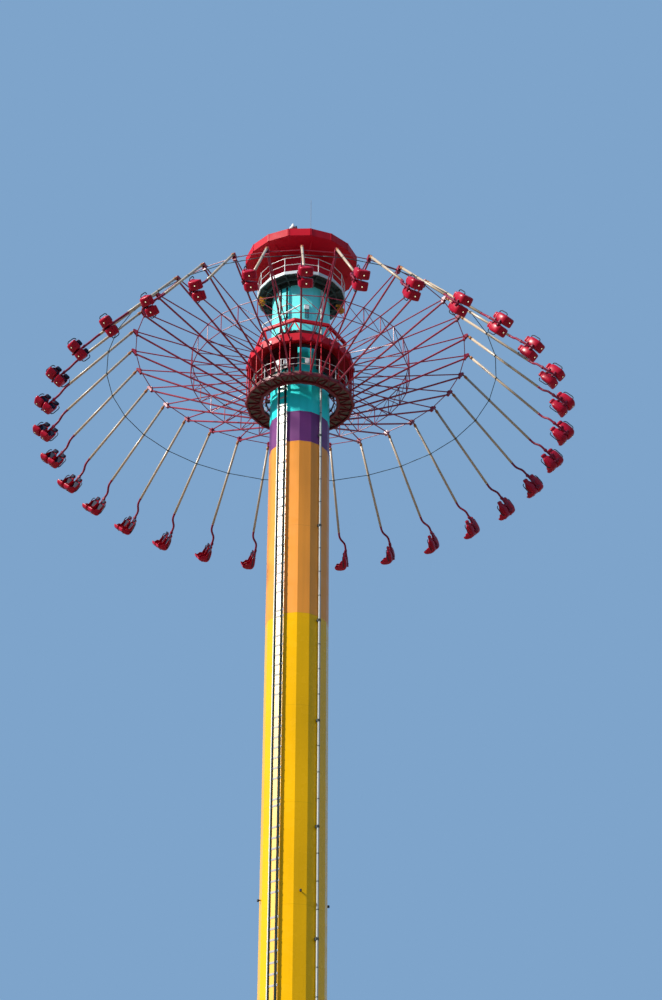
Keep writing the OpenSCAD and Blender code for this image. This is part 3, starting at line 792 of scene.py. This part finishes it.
shell_drawing = applied(seat_shell_mesh(),
                        ("SOLIDIFY", {"thickness": 0.0022, "offset": 0.0, "material_offset": 1}),
                        ("SUBSURF", {"levels": 2, "render_levels": 2}))
print("seat shell", len(shell_drawing.polygons), "faces")

# %% [markdown]
# The moulding is glass-fibre with a clear gel coat: strongly coloured, very
# smooth, and sharp in its highlights, with a faint long ripple from the mould.

# %% Gel coat
def gel_coat():
    """Glossy red moulding."""
    material, tree, shader, place = start_material("red_gel_coat")
    drift = ramp_between(tree, noise(tree, place, 9), 0.3, 0.7, 0.90, 1.06)
    tree.links.new(tone(tree, (0.43, 0.003, 0.024), drift), shader.inputs["Base Color"])
    dust = ramp_between(tree, noise(tree, place, 40), 0.35, 0.8, 0.32, 0.44)
    tree.links.new(dust, shader.inputs["Roughness"])
    shader.inputs["Coat Weight"].default_value = 0.10
    shader.inputs["Coat Roughness"].default_value = 0.25
    shader.inputs["Specular IOR Level"].default_value = 0.18
    bump(tree, shader, noise(tree, place, 60, detail=1), 0.10, 0.0008)
    return material


def pad_cloth():
    """Dark navy coated fabric with a fine weave."""
    material, tree, shader, place = start_material("navy_pad_fabric")
    weave = add(tree, "ShaderNodeTexBrick", Scale=1.0, Mortar_Size=0.0001, Brick_Width=0.0008,
                Row_Height=0.0005)
    tree.links.new(place, weave.inputs["Vector"])
    drift = ramp_between(tree, noise(tree, place, 26), 0.3, 0.7, 0.8, 1.25)
    tree.links.new(tone(tree, (0.007, 0.011, 0.034), drift), shader.inputs["Base Color"])
    shader.inputs["Roughness"].default_value = 0.62
    shader.inputs["Specular IOR Level"].default_value = 0.15
    shader.inputs["Sheen Weight"].default_value = 0.03
    bump(tree, shader, weave.outputs["Fac"], 0.25, 0.0002)
    return material


def lamp_glass():
    """Warm white lamp lens, lit from inside."""
    material, tree, shader, place = start_material("lamp_lens")
    ribs = ramp_between(tree, noise(tree, place, 240), 0.3, 0.7, 0.85, 1.05)
    tree.links.new(tone(tree, (1.0, 0.86, 0.60), ribs), shader.inputs["Base Color"])
    tree.links.new(tone(tree, (1.0, 0.84, 0.56), ribs), shader.inputs["Emission Color"])
    shader.inputs["Emission Strength"].default_value = 0.9
    shader.inputs["Roughness"].default_value = 0.2
    return material


gel = gel_coat()
lining = paint("dark_seat_lining", (0.040, 0.012, 0.022), 0.6, 0.05, coat=0.0, shine=0.2)
pad_fabric = pad_cloth()
lens = lamp_glass()

# %% [markdown]
# The fittings on a seat are small: a lamp in a bezel under the pan, and on
# the outer side a steel guard bow that stands off the moulding. The lens is
# half a flattened sphere, and the bow is a tube swept through six points.

# %% Seat fittings
def fittings_bmesh():
    """Lamps, their bezels and the two guard bows."""
    bm = bmesh.new()
    for side in (-1, 1):
        centre = seat_foot + Vector((side * seat_x, 0.044, 0.0012))
        flat = Matrix.Translation(centre) @ Matrix.Diagonal((1, 1, 0.5, 1))
        made = bmesh.ops.create_uvsphere(bm, u_segments=16, v_segments=8, radius=0.0042, matrix=flat)
        tint({face for vert in made["verts"] for face in vert.link_faces}, 1)
        spun_ring(bm, 0.0039, 0.0058, 0.0024, Matrix.Translation(centre + Vector((0, 0, -0.0006))), 20, 2)
        edge = side * (seat_x + seat_w / 2 - 0.002)
        bow = [(0, 0.1020), (0.0105, 0.0980), (0.0150, 0.0870),
               (0.0150, 0.0400), (0.0105, 0.0290), (0, 0.0250)]
        sweep(bm, [seat_foot + Vector((edge + side * out, 0.016, up)) for out, up in bow], 0.0030, 8, 0)
    return bm


# %% [markdown]
# The seat has three pads: on the pan, on the back and for the head. A pad
# starts as a rounded block at ten times its size, is remeshed to even faces
# and blown up a little by Cloth with inner pressure, so that its top crowns
# and its sides pull in, and is then brought back to scale.

# %% Pads
pad_scale = 10


def pad_block(width, length, height):
    """A block with eased edges, ready to be blown up, at workshop scale."""
    bm = bmesh.new()
    box(bm, (-width / 2, -length / 2, 0), (width / 2, length / 2, height), 0, height * 0.42)
    mesh = bpy.data.meshes.new("pad_block")
    bm.to_mesh(mesh)
    bm.free()
    return applied(mesh, ("REMESH", {"mode": "VOXEL", "voxel_size": 0.036}))


def blown_up(mesh, cap=0.012):
    """Simulates a pad's swelling and returns the mesh, each point moved at most by the cap."""
    start = [vert.co.copy() for vert in mesh.vertices]
    holder = bpy.data.objects.new("pad_bench", mesh)
    bpy.context.scene.collection.objects.link(holder)
    cloth = holder.modifiers.new("cloth", "CLOTH").settings
    cloth.use_pressure = True
    cloth.uniform_pressure_force = 4
    cloth.effector_weights.gravity = 0
    for number in range(1, 21):
        bpy.context.scene.frame_set(number)
    result = bpy.data.meshes.new_from_object(holder.evaluated_get(bpy.context.evaluated_depsgraph_get()))
    bpy.data.objects.remove(holder)
    bpy.context.scene.frame_set(1)
    for vert, before in zip(result.vertices, start):
        moved = vert.co - before
        if moved.length > cap:
            vert.co = before + moved.normalized() * cap
    return result


def pad_mesh(width, length, height):
    """A pad at model scale, lying on z = 0."""
    block = pad_block(width * pad_scale, length * pad_scale, height * pad_scale)
    swollen = blown_up(block)
    swollen.transform(Matrix.Scale(1 / pad_scale, 4))
    return swollen


pan_pad = pad_mesh(0.044, 0.056, 0.007)
back_pad = pad_mesh(0.044, 0.062, 0.008)
head_pad = pad_mesh(0.032, 0.026, 0.010)
print("pads", len(pan_pad.polygons), len(back_pad.polygons), len(head_pad.polygons), "faces")


def pads_bmesh():
    """The pads of both seats in the swing's drawing."""
    bm = bmesh.new()
    for side in (-1, 1):
        seat = Matrix.Translation(seat_foot + Vector((side * seat_x, 0, 0)))
        pan = seat @ Matrix.Translation((0, 0.046, 0.0065)) @ Matrix.Rotation(math.radians(3), 4, "X")
        back = seat @ Matrix.Translation((0, 0.0065, 0.062)) @ Matrix.Rotation(math.radians(-90), 4, "X")
        head = seat @ Matrix.Translation((0, 0.0060, 0.111)) @ Matrix.Rotation(math.radians(-90), 4, "X")
        for drawing, place in ((pan_pad, pan), (back_pad, back), (head_pad, head)):
            before = len(bm.verts)
            bm.from_mesh(drawing)
            bm.verts.ensure_lookup_table()
            bmesh.ops.transform(bm, matrix=place, verts=bm.verts[before:])
    return bm


# %% [markdown]
# Now the drawings are copied to all the arms. Each copy is moved in its mesh
# and not as an object, so every piece stays at the origin as the CAD pieces
# do. The rod stands for the swing's CAD piece, which is hidden.

# %% All the swings
def mesh_of(bm):
    """A bmesh as a mesh that can be copied."""
    mesh = bpy.data.meshes.new("drawing")
    bm.to_mesh(mesh)
    bm.free()
    return mesh


def shells_mesh():
    """Both seat shells in the swing's drawing."""
    bm = bmesh.new()
    for side in (-1, 1):
        before = len(bm.verts)
        bm.from_mesh(shell_drawing)
        bm.verts.ensure_lookup_table()
        bmesh.ops.translate(bm, vec=seat_foot + Vector((side * seat_x, 0, 0)), verts=bm.verts[before:])
    return mesh_of(bm)


def copies(word, drawing, materials):
    """One copy of a drawing on each arm, riding on that arm's swing."""
    made = []
    for k in range(swing_count):
        bm = bmesh.new()
        bm.from_mesh(drawing)
        bmesh.ops.transform(bm, matrix=swing_matrix(k), verts=bm.verts)
        copy = piece(f"{word}_{k + 1}", bm, materials, f"hanger_{k + 1}")
        made.append(copy)
    print(word, len(drawing.polygons), "faces each")
    return made


rod_paints = [cream_paint, amber_paint, cable_steel, tube_paint]
rods = copies("rod", mesh_of(rod_bmesh()), rod_paints)
copies("seat_tube", mesh_of(tube_bmesh()), [tube_paint, dark_trim])
copies("seat_shells", shells_mesh(), [gel, lining])
copies("seat_fittings", mesh_of(fittings_bmesh()), [dark_trim, lens, dark_trim])
pads = copies("seat_pads", mesh_of(pads_bmesh()), [pad_fabric])
for k, rod in enumerate(rods):
    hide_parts(f"swing_{k + 1}")

# %% [markdown]
# The cable that links the rods changes its length as they swing. Each swing
# therefore carries half of the span to either side, and at rest the halves
# meet end to end in the middle of the bay.

# %% Link cable
def clamp_point(k):
    """Where the cable crosses rod k."""
    return swing_matrix(k) @ (rod_line * cable_at)


for k in range(swing_count):
    bm = bmesh.new()
    here = clamp_point(k)
    for other in (k - 1, k + 1):
        bar(bm, here, (here + clamp_point(other)) / 2, cable_d / 2, 8)
    piece(f"link_cable_{k + 1}", bm, [cable_steel], f"hanger_{k + 1}")
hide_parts("link_cable")
spans = [(clamp_point(k + 1) - clamp_point(k)).length for k in range(swing_count)]
print("link cable", round(sum(spans), 3), "m round,",
      "bays of", round(min(spans), 3), "to", round(max(spans), 3))

# %% [markdown]
# A few small fittings break up the plain faces: a control box with a short
# ladder on the front of the mast under the platform, small boards on the
# rotor's railing, ties between the clamps of the service pipe, and the warning
# light on the roof. The track gets the plate that lies almost level between
# its rails, a bar beside each, and bolted clips at every bracket. A board or a
# box is a cube with eased edges, set on its face by one matrix.

# %% Fittings on the mast and the rotor
box_height, strap_pitch, strap_first, strap_h = 8.690, 0.164, 0.075, 0.006
pipe_out, strap_r = 0.0125, 0.0069
beacon_turn, beacon_out, beacon_under = math.radians(-10), 0.345, 0.0325


def on_face(turn, out, height):
    """A place on the mast: +X runs along the face, +Y into it, +Z up."""
    return Matrix.Translation(at(out, turn, height)) @ Matrix.Rotation(turn, 4, "Z")


def mast_box():
    """A white box with a hood, and the ladder below it."""
    bm = bmesh.new()
    place = on_face(facet / 2, mast_flat + 0.0035, box_height)
    box(bm, (-0.017, -0.0045, -0.016), (0.015, 0.0035, 0.016), 0, 0.0012, place)
    box(bm, (-0.019, -0.0060, 0.016), (0.017, 0.0035, 0.019), 0, 0.0010, place)
    for x in (-0.011, 0.011):
        box(bm, (x - 0.001, -0.0030, -0.085), (x + 0.001, 0.0035, -0.016), 1, 0.0, place)
    for rung in range(5):
        low = -0.080 + rung * 0.013
        box(bm, (-0.011, -0.0030, low), (0.011, -0.0015, low + 0.0015), 1, 0.0, place)
    return piece("mast_box", bm, [white_paint, cable_steel], "mast", smooth=False)


def pipe_ties():
    """Thin straps round the service pipe, three between one clamp and the next."""
    bm = bmesh.new()
    pipe_low, pipe_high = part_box("service_pipe")
    for number in range(int((pipe_high.z - pipe_low.z - 0.2) / strap_pitch)):
        foot = at(mast_r + pipe_out, pipe_turn, pipe_low.z + strap_first + number * strap_pitch)
        bar(bm, foot, foot + Vector((0, 0, strap_h)), strap_r, 16)
    return piece("pipe_ties", bm, [dark_paint], "mast")


def bracket_heights():
    """Where the rails are held: in pairs at the mast's joints and in two groups of seven between."""
    low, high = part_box("guide_rails")
    offsets = [-0.020, 0.020] + [sign * (0.148 + 0.064 * n) for n in range(7) for sign in (-1, 1)]
    joints_at = [yellow_top - number * 2 * section_h for number in range(-2, 7)]
    heights = [height + offset for height in joints_at for offset in offsets]
    return sorted(height for height in heights if low.z + 0.012 < height < high.z - 0.012)


def track_bed():
    """The plate between the rails and a bar beside each of them, painted with the mast."""
    bm = bmesh.new()
    low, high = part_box("guide_rails")
    middle = (low.z + high.z) / 2
    place = on_face(track_turn, mast_flat, middle)
    half = (high.z - low.z) / 2 - 0.004
    plates = ((-0.0178, 0.0178, 0.0150), (-0.0368, -0.0312, 0.0140), (0.0312, 0.0372, 0.0150))
    for left, right, out in plates:
        box(bm, (left, -out, -half), (right, -0.0002, half), 0, 0.0010, place)
    return piece("track_bed", bm, [bed_paint()], "mast", smooth=False)


def rail_clips():
    """A cross plate between the rails and a bolted clip beside each, at every bracket."""
    bm = bmesh.new()
    heights = bracket_heights()
    for height in heights:
        place = on_face(track_turn, mast_flat, height)
        box(bm, (-0.0175, -0.0165, -0.0065), (0.0175, -0.0145, 0.0065), 2, 0.0006, place, 1)
        for inner, outer, out in ((-0.0366, -0.0314, 0.0160), (0.0314, 0.0370, 0.0175)):
            box(bm, (inner, -out, -0.0060), (outer, -0.0130, 0.0060), 0, 0.0008, place, 1)
            bolt = place @ Vector(((inner + outer) / 2, 0.0002 - out, 0))
            bar(bm, bolt, bolt + track_out * 0.0016, 0.0019, 6, 1)
    print("brackets", len(heights))
    return piece("rail_clips", bm, [white_paint, cable_steel, plate_paint], "mast", smooth=False)


def roof_beacon():
    """The warning light's housing, with a pale dome and a small dark lamp beside it."""
    bm = bmesh.new()
    place = on_face(beacon_turn, beacon_out, head_high.z - beacon_under)
    box(bm, (-0.016, -0.013, 0), (0.030, 0.013, 0.024), 1, 0.002, place)
    dome = place @ Matrix.Translation((-0.006, 0, 0.026)) @ Matrix.Diagonal((1, 1, 0.95, 1))
    bmesh.ops.create_uvsphere(bm, u_segments=24, v_segments=12, radius=0.0165, matrix=dome)
    bar(bm, place @ Vector((0.021, 0, 0.023)), place @ Vector((0.021, 0, 0.040)), 0.0055, 16, 2)
    return piece("roof_beacon", bm, [white_paint, dark_red_and_shade_paint, dark_trim], "mast")


def railing_boards():
    """Small white boards on the rotor's railing."""
    bm = bmesh.new()
    low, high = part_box("rotor_railing")
    out = -low.y - 0.001
    for turn, width in ((-27, 0.034), (-17, 0.030), (8, 0.026)):
        box(bm, (-width / 2, -0.003, -0.040), (width / 2, 0.003, -0.006), 0, 0.001,
            on_face(math.radians(turn), out * math.cos(facet / 2), high.z))
    return piece("railing_boards", bm, [white_paint], "rotor", smooth=False)


for made in (mast_box(), pipe_ties(), track_bed(), rail_clips(), roof_beacon(), railing_boards()):
    print(made.name, len(made.data.polygons), "faces")
